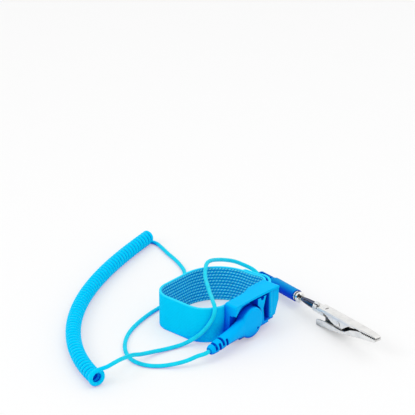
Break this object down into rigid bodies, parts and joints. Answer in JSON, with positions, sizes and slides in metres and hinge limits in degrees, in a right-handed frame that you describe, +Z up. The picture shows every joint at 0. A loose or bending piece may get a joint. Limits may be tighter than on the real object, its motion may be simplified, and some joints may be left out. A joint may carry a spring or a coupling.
{
  "type": "antistatic wrist strap",
  "caption": "Antistatic wrist strap with an adjustable fabric band, buckle with cam lever, snap connector, curly lead, banana plug and alligator clip.",
  "frame": {"origin": "bottom centre of the box round the band, the buckle and the snap connector, on the surface that they stand on", "axes": "+X along the buckle towards its lever end, -Y out through the snap stud, +Z up across the width of the webbing"},
  "size_m": [0.1449, 0.1848, 0.0241],
  "materials": {
    "webbing": "woven polyester webbing with conductive yarn inside",
    "buckle_plastic": "moulded, fine matt grain",
    "connector_plastic": "moulded, satin",
    "steel": "stainless",
    "nickel": "bright nickel plate",
    "brass": "plain",
    "resistor_body": "lacquered",
    "cord_jacket": "smooth soft jacket",
    "plug_plastic": "moulded, satin"
  },
  "bodies": {
    "strap": {"wrist_band": "webbing", "buckle_frame": "buckle_plastic", "skin_plate": "steel", "plate_rivets": "steel", "strap_bar": "steel", "lever_pin": "steel", "snap_stud": "nickel", "stud_washer": "nickel", "snap_lead": "cord_jacket", "coil_cord": "cord_jacket", "plug_lead": "cord_jacket", "plug_boot": "plug_plastic", "plug_handle": "plug_plastic", "plug_collar": "nickel", "banana_pin": "nickel", "banana_spring": "nickel"},
    "lever": {"cam_lever": "buckle_plastic"},
    "snap": {"snap_housing": "connector_plastic", "snap_retainer": "connector_plastic", "snap_socket": "brass", "snap_ring": "steel", "snap_terminal": "brass", "resistor": "resistor_body", "snap_boot": "connector_plastic"},
    "clip": {"clip_upper_jaw": "nickel", "clip_pivot": "nickel", "clip_spring": "steel", "clip_screw": "nickel"},
    "clip_jaw": {"clip_lower_jaw": "nickel"}
  },
  "joints": [
    {"name": "lever_swing", "type": "hinge", "parent": "strap", "child": "lever", "pos_m": [0.01829, -0.0211, 0], "axis": [0, 0, -1], "range_deg": [0, 85]},
    {"name": "snap_swivel", "type": "hinge", "parent": "strap", "child": "snap", "pos_m": [0.00079, -0.0189, 0.01], "axis": [0, 1, 0], "range_deg": [-5, 14], "deforming": ["snap_lead"]},
    {"name": "clip_pull_off", "type": "slide", "parent": "strap", "child": "clip", "axis": [-0.2831, -0.9559, 0.0785], "range_m": [0, 0.018]},
    {"name": "jaw_open", "type": "hinge", "parent": "clip", "child": "clip_jaw", "pos_m": [0.03328, -0.0591, 0.00889], "axis": [0.9588, -0.284, 0], "range_deg": [0, 13], "stiffness_Nm_per_rad": 0.05, "springref_deg": -11.46, "deforming": ["clip_spring"]}
  ]
}
